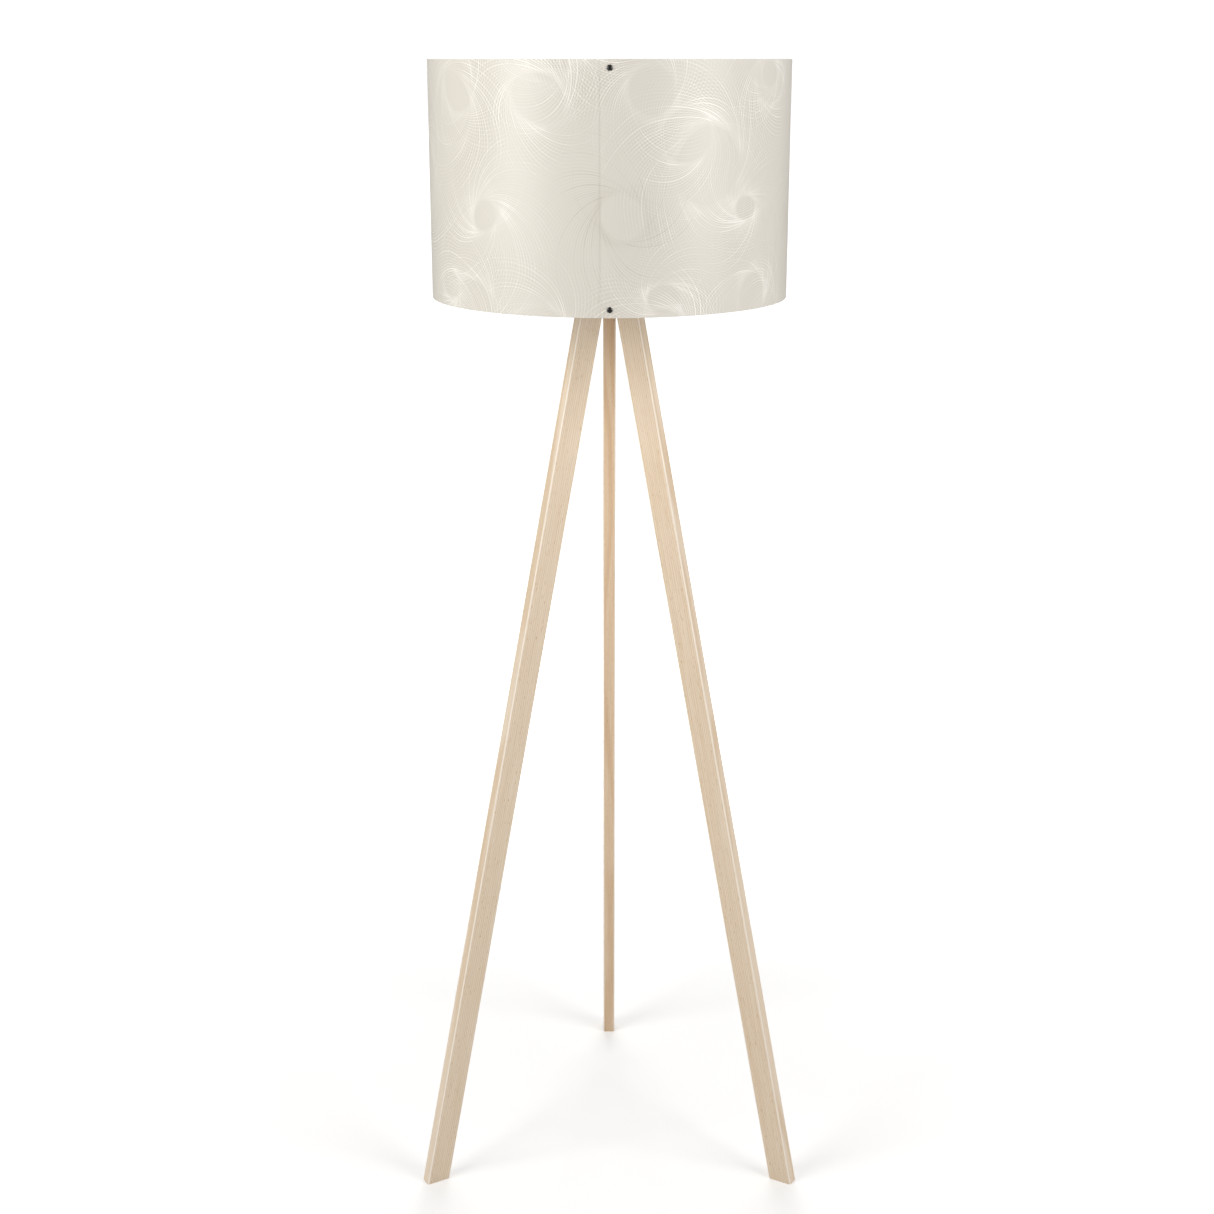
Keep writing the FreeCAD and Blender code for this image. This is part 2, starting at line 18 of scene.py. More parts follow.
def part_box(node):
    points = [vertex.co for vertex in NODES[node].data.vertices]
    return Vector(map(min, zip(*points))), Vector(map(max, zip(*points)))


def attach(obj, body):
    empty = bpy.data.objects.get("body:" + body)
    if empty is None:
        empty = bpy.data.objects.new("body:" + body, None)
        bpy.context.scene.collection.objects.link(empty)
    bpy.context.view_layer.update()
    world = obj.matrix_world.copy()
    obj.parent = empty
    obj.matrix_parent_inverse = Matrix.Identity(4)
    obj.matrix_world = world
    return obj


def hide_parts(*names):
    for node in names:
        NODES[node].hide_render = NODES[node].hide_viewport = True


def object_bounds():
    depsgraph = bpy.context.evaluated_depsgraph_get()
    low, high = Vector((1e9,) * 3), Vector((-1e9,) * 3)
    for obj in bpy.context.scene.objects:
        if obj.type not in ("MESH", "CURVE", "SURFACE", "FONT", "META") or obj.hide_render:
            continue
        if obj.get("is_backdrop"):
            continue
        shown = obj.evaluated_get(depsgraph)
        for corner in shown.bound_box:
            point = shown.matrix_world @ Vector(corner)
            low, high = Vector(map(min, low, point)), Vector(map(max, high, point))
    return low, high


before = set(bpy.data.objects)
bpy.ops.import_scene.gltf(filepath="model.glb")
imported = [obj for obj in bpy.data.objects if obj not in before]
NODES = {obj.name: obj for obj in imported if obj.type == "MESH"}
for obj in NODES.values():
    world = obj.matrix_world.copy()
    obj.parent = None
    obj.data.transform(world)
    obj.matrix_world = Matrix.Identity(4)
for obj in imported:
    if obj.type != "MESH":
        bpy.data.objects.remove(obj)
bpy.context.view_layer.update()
MM = 0.001

# %% [markdown]
# ## Helpers for colours and nodes
#
# Colours are easiest to choose as sRGB hex values, as in any paint program, but a shader works with linear
# light, so one function converts them. Every finish below is a small node tree. One function adds a node,
# sets its values and links its inputs, and another closes the tree with the shader. What is left in each
# material is only what says something about it.

# %% Colour and node helpers


def linear(hex_colour):
    """An sRGB hex colour as linear RGBA."""
    parts = [int(hex_colour[i:i + 2], 16) / 255 for i in (1, 3, 5)]
    return [p / 12.92 if p <= 0.04045 else ((p + 0.055) / 1.055) ** 2.4 for p in parts] + [1.0]


def add(tree, kind, settings=None, links=None):
    """Add a node. A setting is a property or an input's name or number. A link feeds an input from a node."""
    node = tree.nodes.new(kind)
    for name, value in (settings or {}).items():
        if isinstance(name, str) and hasattr(node, name):
            setattr(node, name, value)
        else:
            node.inputs[name].default_value = value
    for name, source in (links or {}).items():
        socket = source if isinstance(source, bpy.types.NodeSocket) else source.outputs[0]
        tree.links.new(node.inputs[name], socket)
    return node


def start_finish(name):
    """An empty material's node tree, and its texture coordinates: the part's own, in metres."""
    material = bpy.data.materials.new(name)
    material.use_nodes = True
    material.node_tree.nodes.clear()
    return material, material.node_tree, add(material.node_tree, "ShaderNodeTexCoord").outputs["Object"]


def close_finish(tree, fixed, driven):
    """Add the Principled shader with its fixed values and the inputs that nodes drive, and the output."""
    shader = add(tree, "ShaderNodeBsdfPrincipled", fixed, driven)
    add(tree, "ShaderNodeOutputMaterial", None, {"Surface": shader})


def grains_of(*sizes_mm):
    """The scale that makes one unit of pattern as long as these sizes along X, Y and Z."""
    return [1 / (MM * size) for size in sizes_mm]


# %% [markdown]
# ## Lacquered beech
#
# The legs are planed and sanded beech under a thin clear matt lacquer. Beech is pale and quiet: straight
# growth rings two or three millimetres apart, hair-fine fibres that run the whole length, and short darker
# flecks. An image could be wrapped round the leg, but a solid texture suits wood better, because the rings
# are then cut correctly on the broad sides, the narrow sides and the end grain alike. Each leg leans its
# own way, so its coordinates are first turned until it stands upright: X across its width, Y across its
# thickness, Z along.

# %% Beech
LEG_TILT = math.radians(11.78)
RING_SPACING_MM = 2.7
RING_WANDER_MM = 14.0
PITH_AWAY_MM = (88.0, 41.0)
# The rear leg is tinted a little darker and browner than the front legs: painted shade.
PAINTED_SHADE_TINTS = {"left_leg": "#FFFFFF", "right_leg": "#FFFEFD", "rear_leg": "#F2E7DB"}


def lacquered_beech(name, azimuth, board):
    """Pale beech for a leg that leans towards this azimuth, darkened by this tint of painted shade."""
    material, tree, place = start_finish(name)
    normal = add(tree, "ShaderNodeTexCoord").outputs["Normal"]
    upright = []
    for vector in (place, normal):
        faced = add(tree, "ShaderNodeVectorRotate", {"rotation_type": "Z_AXIS", "Angle": -azimuth},
                    {"Vector": vector})
        upright.append(add(tree, "ShaderNodeVectorRotate", {"rotation_type": "Y_AXIS", "Angle": LEG_TILT},
                           {"Vector": faced}))
    # Each leg gets its own stretch of the tree, so no two legs are alike.
    own_stretch = azimuth * 900
    log = add(tree, "ShaderNodeMapping",
              {"Scale": grains_of(1, 1, 1), "Location": (*PITH_AWAY_MM, own_stretch)}, {"Vector": upright[0]})

    def pattern(width_mm, depth_mm, length_mm, detail):
        cell = add(tree, "ShaderNodeMapping", {"Scale": (1 / width_mm, 1 / depth_mm, 1 / length_mm)},
                   {"Vector": log})
        return add(tree, "ShaderNodeTexNoise", {"Scale": 1.0, "Detail": detail, "Roughness": 0.6},
                   {"Vector": cell})

    # Growth rings: the distance from the pith, which wanders a few millimetres over a leg's length.
    split = add(tree, "ShaderNodeSeparateXYZ", None, {"Vector": log})
    flat = add(tree, "ShaderNodeCombineXYZ", None, {0: split.outputs[0], 1: split.outputs[1]})
    from_pith = add(tree, "ShaderNodeVectorMath", {"operation": "LENGTH"}, {0: flat}).outputs["Value"]
    wandered = add(tree, "ShaderNodeMath", {"operation": "MULTIPLY_ADD", 1: RING_WANDER_MM},
                   {0: pattern(70, 70, 520, 2.0), 2: from_pith})
    turns = add(tree, "ShaderNodeMath", {"operation": "MULTIPLY", 1: 2 * math.pi / RING_SPACING_MM},
                {0: wandered})
    wave = add(tree, "ShaderNodeMath", {"operation": "SINE"}, {0: turns})
    ring = add(tree, "ShaderNodeMapRange", {"From Min": -0.7, "interpolation_type": "SMOOTHSTEP"},
               {"Value": wave})
    # A beech fibre is a few hundredths of a millimetre wide. It is drawn as bundles of 1.1 mm, which show.
    fibre = pattern(1.1, 1.1, 90, 4.0)
    fibre_depth = add(tree, "ShaderNodeMapRange", {"From Min": 0.38, "From Max": 0.72}, {"Value": fibre})
    fleck = add(tree, "ShaderNodeMapRange", {"From Min": 0.66, "From Max": 0.74},
                {"Value": pattern(1.1, 0.7, 8, 1.0)})
    facing = add(tree, "ShaderNodeSeparateXYZ", None, {"Vector": upright[1]})
    end_on = add(tree, "ShaderNodeMath", {"operation": "ABSOLUTE"}, {0: facing.outputs[2]})
    # End grain drinks in more lacquer and looks darker.
    end_grain = add(tree, "ShaderNodeMapRange", {"From Min": 0.55, "From Max": 0.8}, {"Value": end_on})
    tone = add(tree, "ShaderNodeMix", {"data_type": "RGBA", 6: linear("#F3E5D4"), 7: linear("#EADAC4")},
               {0: pattern(9, 9, 260, 2.0)})
    # The leg's tint multiplies it all over: painted shade on the rear leg, while the front legs' tints are
    # white or nearly so.
    tone = add(tree, "ShaderNodeMix",
               {"data_type": "RGBA", "blend_type": "MULTIPLY", 0: 1.0, 7: linear(board)},
               {6: tone.outputs[2]})
    stains = [(ring, "#F6F0E8"), (fibre_depth, "#F4ECE1"), (fleck, "#E6D5BE"), (end_grain, "#DCC5A6")]
    for share, stain in stains:
        tone = add(tree, "ShaderNodeMix", {"data_type": "RGBA", "blend_type": "MULTIPLY", 7: linear(stain)},
                   {0: share, 6: tone.outputs[2]})
    # The long edges are sanded round and painted paler: a painted highlight along each rounded edge. They
    # face two ways at once.
    both_ways = add(tree, "ShaderNodeMath", {"operation": "MULTIPLY"},
                    {0: facing.outputs[0], 1: facing.outputs[1]})
    either_sign = add(tree, "ShaderNodeMath", {"operation": "ABSOLUTE"}, {0: both_ways})
    painted_edge_highlight = add(tree, "ShaderNodeMapRange", {"From Min": 0.1, "From Max": 0.45, "To Max": 0.8},
               {"Value": either_sign})
    tone = add(tree, "ShaderNodeMix", {"data_type": "RGBA", 7: linear("#FBF3E8")},
               {0: painted_edge_highlight, 6: tone.outputs[2]})
    # Matt lacquer on wood has an IOR near 1.5 and gives a broad soft sheen, a little duller over open fibres.
    gloss = add(tree, "ShaderNodeMapRange", {"To Min": 0.42, "To Max": 0.6}, {"Value": fibre})
    relief = add(tree, "ShaderNodeBump", {"Distance": 0.1 * MM}, {"Height": fibre})
    close_finish(tree, {"IOR": 1.5}, {"Base Color": tone.outputs[2], "Roughness": gloss, "Normal": relief})
    return material


FINISH_OF_NODE = {}
for leg in ("left_leg", "right_leg", "rear_leg"):
    low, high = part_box(leg)
    azimuth = math.atan2(low.y + high.y, low.x + high.x)
    FINISH_OF_NODE[leg] = lacquered_beech("lacquered_beech_" + leg, azimuth, PAINTED_SHADE_TINTS[leg])
    print(leg, "azimuth", round(math.degrees(azimuth), 1))

# %% [markdown]
# ## Printed shade film
#
# The shade is a sheet of off-white polypropylene film with a pearly, satin surface. Its only ornament is a
# print of raised hairlines: circles of one size whose centres stand on a smaller circle, so that they
# weave a round figure and crowd together at its edges. The figures come in several sizes and overlap.
#
# The lines could be curves laid on the film, but there are thousands of them, so the shader works them
# out. Only circles at two known angles can pass through a point at a given distance from a figure's
# centre. It is enough to round each angle to the nearest circle of the set and to measure how far off that
# circle is.
#
# A real hairline is about 0.3 mm wide and its neighbour is 2 or 3 mm away. They are drawn coarser here, at
# 1.5 mm and 4.2 mm, so that they show. As in hand-pulled prints, each figure's circles lean mostly one
# way, and a few circles carry far more ink than the rest.

# %% Hairline figures
SHADE_LOW, SHADE_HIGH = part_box("shade_sheet")
SHADE_R = SHADE_HIGH.x
AROUND_MM = 2 * math.pi * SHADE_R / MM
LINE_MM = 1.5
LINE_SPACING_MM = 4.2
# A figure's middle may wander by this share of its cell. Its outer edge reaches at most this share of it.
WANDER = 0.16
REACH = 0.42
# The smallest circle compared with the largest.
SMALLEST = 0.7
# How thin the line round a figure's eye is, as a span of the cosine worked out below.
CROWDED = 0.025
# The ink of the circles that lean the other way.
FAINT_SIDE = 0.25
# A circle's ink is the common share, plus up to the rare share for the few lucky ones.
COMMON_INK, RARE_INK, RARITY = 0.5, 1.1, 4
MEAN_INK = COMMON_INK + RARE_INK / (RARITY + 1)


def woven_circles(tree, around, height, columns, ratio, seed):
    """A layer of figures, one in each cell of a staggered grid: how much ink a point gets."""
    left, right = (1.0, FAINT_SIDE) if seed % 2 else (FAINT_SIDE, 1.0)
    cell = AROUND_MM / columns
    wander = WANDER * cell
    largest = REACH * cell / (1 + ratio)
    mean_size = (1 + SMALLEST) / 2
    circles = round(2 * math.pi * largest * ratio * mean_size / LINE_SPACING_MM)
    values = {"around": around, "height": height}

    def work_out(steps):
        for result, operation, *inputs in steps:
            fixed = {i: v for i, v in enumerate(inputs) if not isinstance(v, str)}
            linked = {i: values[v] for i, v in enumerate(inputs) if isinstance(v, str)}
            values[result] = add(tree, "ShaderNodeMath", {"operation": operation, **fixed}, linked)

    work_out([
        ("up", "MULTIPLY_ADD", "height", 1 / cell, seed * 0.37),
        ("row", "FLOOR", "up"),
        ("half row", "MULTIPLY", "row", 0.5),
        ("stagger", "FRACT", "half row"),
        ("along", "MULTIPLY_ADD", "around", 1 / cell, "stagger"),
        ("column", "FLOOR", "along"),
        ("own column", "FLOORED_MODULO", "column", float(columns)),
    ])
    cell_name = add(tree, "ShaderNodeCombineXYZ", {2: float(seed)},
                    {0: values["own column"], 1: values["row"]})
    chance = add(tree, "ShaderNodeTexWhiteNoise", {"noise_dimensions": "3D"}, {"Vector": cell_name})
    three = add(tree, "ShaderNodeSeparateXYZ", None, {"Vector": chance.outputs["Color"]})
    values.update({f"chance {i}": three.outputs[i] for i in range(3)})
    work_out([
        # The point, measured in mm from its own figure's centre.
        ("x in cell", "SUBTRACT", "along", "column"),
        ("y in cell", "SUBTRACT", "up", "row"),
        ("x centred", "MULTIPLY_ADD", "x in cell", cell, -(cell + wander) / 2),
        ("y centred", "MULTIPLY_ADD", "y in cell", cell, -(cell + wander) / 2),
        ("x", "MULTIPLY_ADD", "chance 0", wander, "x centred"),
        ("y", "MULTIPLY_ADD", "chance 1", wander, "y centred"),
        ("xx", "MULTIPLY", "x", "x"),
        ("rr", "MULTIPLY_ADD", "y", "y", "xx"),
        ("r", "SQRT", "rr"),
        ("bearing", "ARCTAN2", "y", "x"),
        # The figure's circle size, and how far its circles' centres stand from its middle.
        ("circle", "MULTIPLY_ADD", "chance 2", largest * (1 - SMALLEST), largest * SMALLEST),
        ("centres", "MULTIPLY", "circle", ratio),
        # The law of cosines gives how far round from the point a circle through it is centred.
        ("circle squared", "MULTIPLY", "circle", "circle"),
        ("inside", "MULTIPLY_ADD", "centres", "centres", "rr"),
        ("above", "SUBTRACT", "inside", "circle squared"),
        ("r centres", "MULTIPLY", "r", "centres"),
        ("below", "MULTIPLY_ADD", "r centres", 2.0, 0.001),
        ("cosine", "DIVIDE", "above", "below"),
        ("not under", "MAXIMUM", "cosine", -1.0),
        ("not over", "MINIMUM", "not under", 1.0),
        ("swing", "ARCCOSINE", "not over"),
    ])
    for line, side in (("line left", "ADD"), ("line right", "SUBTRACT")):
        work_out([
            ("angle", side, "bearing", "swing"),
            ("place", "MULTIPLY", "angle", circles / (2 * math.pi)),
            ("nearest", "ROUND", "place"),
            ("turn", "MULTIPLY", "nearest", 2 * math.pi / circles),
            ("cos", "COSINE", "turn"),
            ("sin", "SINE", "turn"),
            ("cx", "MULTIPLY", "cos", "centres"),
            ("cy", "MULTIPLY", "sin", "centres"),
            ("dx", "SUBTRACT", "x", "cx"),
            ("dy", "SUBTRACT", "y", "cy"),
            ("dxdx", "MULTIPLY", "dx", "dx"),
            ("dd", "MULTIPLY_ADD", "dy", "dy", "dxdx"),
            ("d", "SQRT", "dd"),
            ("miss", "SUBTRACT", "d", "circle"),
            ("gap", "ABSOLUTE", "miss"),
            ("thin", "MULTIPLY_ADD", "gap", -2 / LINE_MM, 1.0),
            ("drawn", "MAXIMUM", "thin", 0.0),
            # Each circle draws its luck from its own place: the last digits of a stretched sine are random.
            ("own place", "FLOORED_MODULO", "nearest", float(circles)),
            ("mixed", "MULTIPLY_ADD", "own place", 12.99, seed * 78.2),
            ("stirred", "SINE", "mixed"),
            ("stretched", "MULTIPLY", "stirred", 4375.85),
            ("luck", "FRACT", "stretched"),
            ("much luck", "POWER", "luck", float(RARITY)),
            ("ink", "MULTIPLY_ADD", "much luck", RARE_INK, COMMON_INK),
            (line, "MULTIPLY", "drawn", "ink"),
        ])
    work_out([
        ("line", "MULTIPLY", "line left", left),
        ("both", "MULTIPLY_ADD", "line right", right, "line"),
        # The cosine is -1 where the lines crowd round the figure's eye, and 1 at its outer edge, where they
        # have faded out. Outside that range there are no lines.
        ("size of cosine", "ABSOLUTE", "cosine"),
        ("within", "LESS_THAN", "size of cosine", 1.0),
        ("fading", "MULTIPLY_ADD", "not over", -1.0, 0.85),
        ("not below", "MAXIMUM", "fading", 0.0),
        ("faded", "MINIMUM", "not below", 1.0),
        # Close to the eye the lines are fainter, or they would run together into a broad white rim.
        ("clearing", "MULTIPLY_ADD", "not over", 3.2, 3.3),
        ("cleared", "MINIMUM", "clearing", 1.0),
        ("full within", "MULTIPLY", "faded", "cleared"),
        ("presence", "MULTIPLY", "full within", "within"),
        ("eye", "MULTIPLY_ADD", "not over", -1 / CROWDED, 1 - 1 / CROWDED),
        ("near eye", "MAXIMUM", "eye", 0.0),
        ("crowd", "MULTIPLY", "near eye", "within"),
        # Taking off the lines' average keeps the figures from reading as pale discs.
        ("over average", "SUBTRACT", "both", MEAN_INK * LINE_MM / LINE_SPACING_MM * (left + right) / 2),
        ("lines", "MULTIPLY", "over average", "presence"),
        ("print", "MULTIPLY_ADD", "crowd", 0.5, "lines"),
    ])
    return values["print"]


# %% [markdown]
# ## The film's finish
#
# Eight layers of figures overlap, so the whole drum is covered in fine arcs. Seven are printed in pearl
# white and one in warm grey, which a negative strength stands for. The inks differ only a little in colour
# from the film. They are also glossier and stand up slightly, so the lines flash where the drum mirrors a
# light.

# %% Film
# For each layer: figures round the drum, how far their circles' centres stand off compared with a circle's
# size, a seed and a strength.
FIGURES = [(5, 0.56, 1, 1.0), (4, 0.78, 2, 1.0), (4, 0.62, 3, 1.0), (5, 0.5, 4, 1.0), (4, 0.7, 5, -0.5),
           (5, 0.7, 6, 1.0), (3, 0.56, 7, 1.0), (5, 0.6, 9, 1.0)]
# How far the hand-drawn lines may be off true, over what length that changes, and how large a patch of
# thinner ink is.
WOBBLE_MM = 24
WOBBLE_LENGTH_MM = 110
PATCH_MM = 55


def printed_film():
    """Off-white satin polypropylene film with the hairline print."""
    material, tree, place = start_finish("printed_polypropylene_film")
    in_mm = add(tree, "ShaderNodeMapping", {"Scale": grains_of(1, 1, 1)}, {"Vector": place})
    # The artwork was drawn by hand, so its circles wander a few millimetres from true.
    wobble = add(tree, "ShaderNodeTexNoise", {"Scale": 1 / WOBBLE_LENGTH_MM, "Detail": 0.0},
                 {"Vector": in_mm})
    wander = add(tree, "ShaderNodeVectorMath",
                 {"operation": "MULTIPLY_ADD", 1: [WOBBLE_MM] * 3, 2: [-WOBBLE_MM / 2] * 3},
                 {0: wobble.outputs["Color"]})
    drawn = add(tree, "ShaderNodeVectorMath", {"operation": "ADD"}, {0: in_mm, 1: wander})
    split = add(tree, "ShaderNodeSeparateXYZ", None, {"Vector": drawn})
    angle = add(tree, "ShaderNodeMath", {"operation": "ARCTAN2"}, {0: split.outputs[1], 1: split.outputs[0]})
    around = add(tree, "ShaderNodeMath", {"operation": "MULTIPLY_ADD", 1: SHADE_R / MM, 2: AROUND_MM / 2},
                 {0: angle})
    patches = add(tree, "ShaderNodeMapping", {"Scale": [1 / PATCH_MM] * 3}, {"Vector": in_mm})
    layers = []
    for columns, ratio, seed, strength in FIGURES:
        figure = woven_circles(tree, around, split.outputs[2], columns, ratio, seed)
        # Ink thins out on the roller, so patches of each layer are fainter.
        patchy = add(tree, "ShaderNodeTexNoise",
                     {"noise_dimensions": "4D", "W": seed * 3.7, "Scale": 1.0, "Detail": 1.0},
                     {"Vector": patches})
        ink = add(tree, "ShaderNodeMapRange",
                  {"From Min": 0.44, "From Max": 0.56, "To Min": 0.3 * strength, "To Max": strength},
                  {"Value": patchy})
        layers.append(add(tree, "ShaderNodeMath", {"operation": "MULTIPLY"}, {0: figure, 1: ink}))
    total = layers[0]
    for layer in layers[1:]:
        total = add(tree, "ShaderNodeMath", {"operation": "ADD"}, {0: total, 1: layer})
    level = add(tree, "ShaderNodeMapRange", {"From Min": -0.8, "From Max": 1.1}, {"Value": total})
    colour = add(tree, "ShaderNodeMix", {"data_type": "RGBA", 6: linear("#BCB6AA"), 7: linear("#FFFCF6")},
                 {0: level})
    # From the darkest ink to the whitest, the surface rises by 0.07 mm.
    relief = add(tree, "ShaderNodeBump", {"Distance": 0.07 * MM}, {"Height": level})
    gloss = add(tree, "ShaderNodeMapRange", {"From Min": 0.4, "From Max": 0.9, "To Min": 0.42, "To Max": 0.3},
                {"Value": level})
    # Polypropylene has an IOR of 1.49. Pearl pigment and calendering give a silky, broad highlight.
    close_finish(tree, {"IOR": 1.49, "Specular IOR Level": 0.6},
                 {"Base Color": colour.outputs[2], "Roughness": gloss, "Normal": relief})
    return material


film = printed_film()
FINISH_OF_NODE["shade_sheet"] = film
print("film nodes", len(film.node_tree.nodes), "drum circumference in mm", round(AROUND_MM))

# %% [markdown]
# ## Mesh helpers
#
# Two kinds of mesh are made below. One is turned: an outline goes round the lamp's axis, as on a lathe.
# The other is swept: a small cross-section follows a line. Both end in the same way, with smooth shading
# and crisp edges where two faces meet sharply. A finer piece then takes the place of a plain solid: it
# hides that node, keeps its material slot and moves with its body.

# %% Mesh helpers
SHARP = math.radians(35)


def mesh_object(name, vertices, faces, material):
    """A mesh object that is smooth, with crisp edges where faces meet at more than SHARP."""
    mesh = bpy.data.meshes.new(name)
    mesh.from_pydata(vertices, [], faces)
    mesh.polygons.foreach_set("use_smooth", [True] * len(mesh.polygons))
    mesh.set_sharp_from_angle(angle=SHARP)
    mesh.materials.append(material)
    made = bpy.data.objects.new(name, mesh)
    bpy.context.scene.collection.objects.link(made)
    return made

# %% [markdown]
# ## The rolled film
#
# On the bench the film is a flat strip a little longer than the drum is round. It is rolled until one end
# slips under the other, and two snap rivets close the lap. A tube can't show that, so the mesh is swept:
# the film's cross-section, 0.6 mm thick with its cut edges just broken, is carried round the drum and
# eases inwards near its far end to pass under the near one. The near end is skived thin, so that the lap
# hardly shows.

# %% Roll the film
FILM_T = 0.6 * MM
LAP_GAP = 0.15 * MM
LAP = 22 * MM / SHADE_R
SEAM = math.radians(270)
EASE_FROM, EASE_TO = math.radians(234), math.radians(258)
BROKEN_EDGE = 0.12 * MM
SKIVED, THIN_EDGE = 5 * MM, 0.2 * MM


def film_radius(azimuth):
    """The film's outer radius, which eases inwards before it slips under its own near end."""
    share = min(1.0, max(0.0, (azimuth - EASE_FROM) / (EASE_TO - EASE_FROM)))
    return SHADE_R - (FILM_T + LAP_GAP) * share * share * (3 - 2 * share)


def roll_film(steps=900, rows=12):
    """The cross-section, carried round from the skived near end to the hidden far end."""
    bottom, top = SHADE_LOW.z, SHADE_HIGH.z
    run = top - bottom - 2 * BROKEN_EDGE
    rises = [bottom + BROKEN_EDGE + run * k / rows for k in range(rows + 1)]
    section = [(BROKEN_EDGE, bottom)] + [(0.0, z) for z in rises] + [(BROKEN_EDGE, top)]
    section += [(FILM_T - BROKEN_EDGE, top)] + [(FILM_T, z) for z in reversed(rises)]
    section += [(FILM_T - BROKEN_EDGE, bottom)]
    first, last = SEAM - LAP / 2 - 2 * math.pi, SEAM + LAP / 2
    vertices = []
    for k in range(steps + 1):
        azimuth = first + (last - first) * k / steps
        skive = (FILM_T - THIN_EDGE) * max(0.0, 1 - (azimuth - first) * SHADE_R / SKIVED)
        for depth, z in section:
            least = skive if depth < FILM_T / 2 else skive + BROKEN_EDGE
            r = film_radius(azimuth) - max(depth, least)
            vertices.append((r * math.cos(azimuth), r * math.sin(azimuth), z))
    n = len(section)
    faces = [(k * n + i, (k + 1) * n + i, (k + 1) * n + (i + 1) % n, k * n + (i + 1) % n)
             for k in range(steps) for i in range(n)]
    faces += [tuple(range(n)), tuple(reversed(range(steps * n, steps * n + n)))]
    return mesh_object("rolled_film", vertices, faces, film)


rolled = roll_film()
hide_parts("shade_sheet")
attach(rolled, "shade")
print("film faces", len(rolled.data.polygons))
print("flat length in mm", round((2 * math.pi + LAP) * SHADE_R / MM))

# %% [markdown]
# ## The small parts' finishes
#
# Most small parts are moulded, coated, plated or fired. Each of these surfaces is an even colour that is
# broken up by a fine grain, and drifts a little over a larger area. One recipe makes them all: two tones,
# the size of the grain in millimetres, how dull it is, how deep the grain goes, and what the stuff is.
# What differs from part to part is the numbers, so they are kept in one table.

# %% Grained finishes
DRIFT_MM = 14


def grained(name, tones, grain_mm, dullness, depth_mm, stuff):
    """A finish with a fine grain that drifts between two tones and two roughnesses."""
    material, tree, place = start_finish(name)
    fine_place = add(tree, "ShaderNodeMapping", {"Scale": grains_of(*grain_mm)}, {"Vector": place})
    fine = add(tree, "ShaderNodeTexNoise", {"Scale": 1.0, "Detail": 3.0}, {"Vector": fine_place})
    drift_place = add(tree, "ShaderNodeMapping", {"Scale": grains_of(*[DRIFT_MM] * 3)}, {"Vector": place})
    drift = add(tree, "ShaderNodeTexNoise", {"Scale": 1.0, "Detail": 2.0}, {"Vector": drift_place})
    mixed = add(tree, "ShaderNodeMath", {"operation": "MULTIPLY_ADD", 1: 0.5}, {0: fine})
    half_drift = add(tree, "ShaderNodeMath", {"operation": "MULTIPLY", 1: 0.5}, {0: drift})
    tree.links.new(mixed.inputs[2], half_drift.outputs[0])
    spread = add(tree, "ShaderNodeMapRange", {"From Min": 0.3, "From Max": 0.7}, {"Value": mixed})
    colour = add(tree, "ShaderNodeMix", {"data_type": "RGBA", 6: linear(tones[0]), 7: linear(tones[1])},
                 {0: spread})
    rough = add(tree, "ShaderNodeMapRange", {"To Min": dullness[0], "To Max": dullness[1]}, {"Value": spread})
    relief = add(tree, "ShaderNodeBump", {"Distance": depth_mm * MM}, {"Height": fine})
    close_finish(tree, stuff, {"Base Color": colour.outputs[2], "Roughness": rough, "Normal": relief})
    return material


